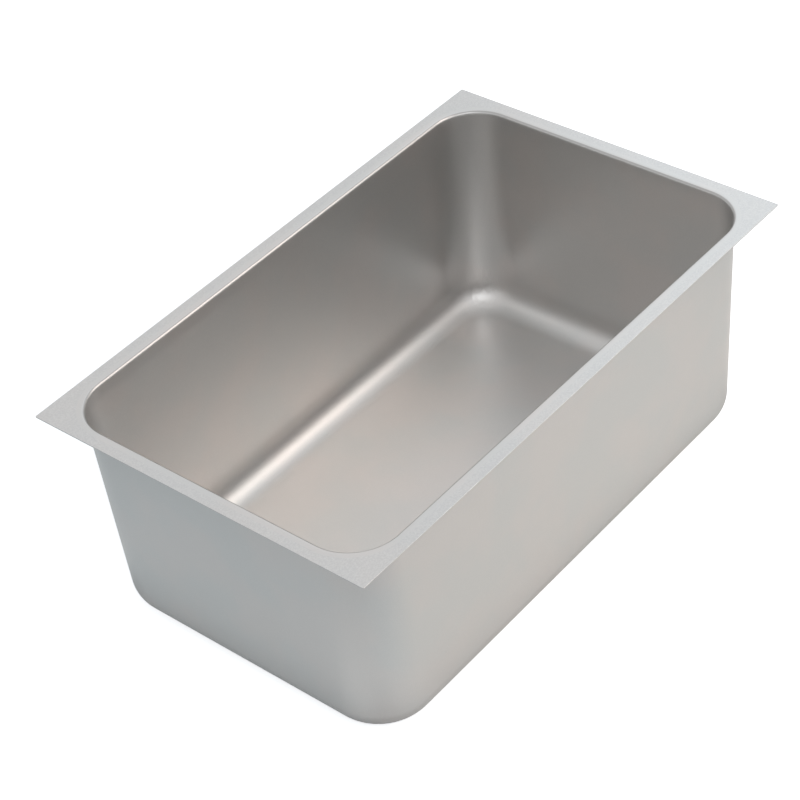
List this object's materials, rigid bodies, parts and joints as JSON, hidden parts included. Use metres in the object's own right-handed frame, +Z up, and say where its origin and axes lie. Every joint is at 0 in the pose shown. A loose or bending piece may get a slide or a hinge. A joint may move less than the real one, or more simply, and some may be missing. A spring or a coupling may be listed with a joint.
{
  "type": "bain-marie tank",
  "caption": "Open rectangular bain-marie tank with a coved floor, rounded upright corners and a flat square-cornered rim to hang or weld into a counter.",
  "frame": {"origin": "centre of the base, on the surface that the tank stands on", "axes": "+X along the tank, +Y across it, +Z up out of the well"},
  "size_m": [0.54, 0.335, 0.209],
  "materials": {
    "bowl_sheet": "satin stainless sheet, deep drawn",
    "rim_sheet": "satin stainless sheet, flat",
    "weld_metal": "stainless weld, ground flush on top and as welded underneath"
  },
  "bodies": {
    "root": {"tank_bowl": "bowl_sheet", "rim_frame": "rim_sheet", "rim_weld": "weld_metal"}
  },
  "joints": []
}
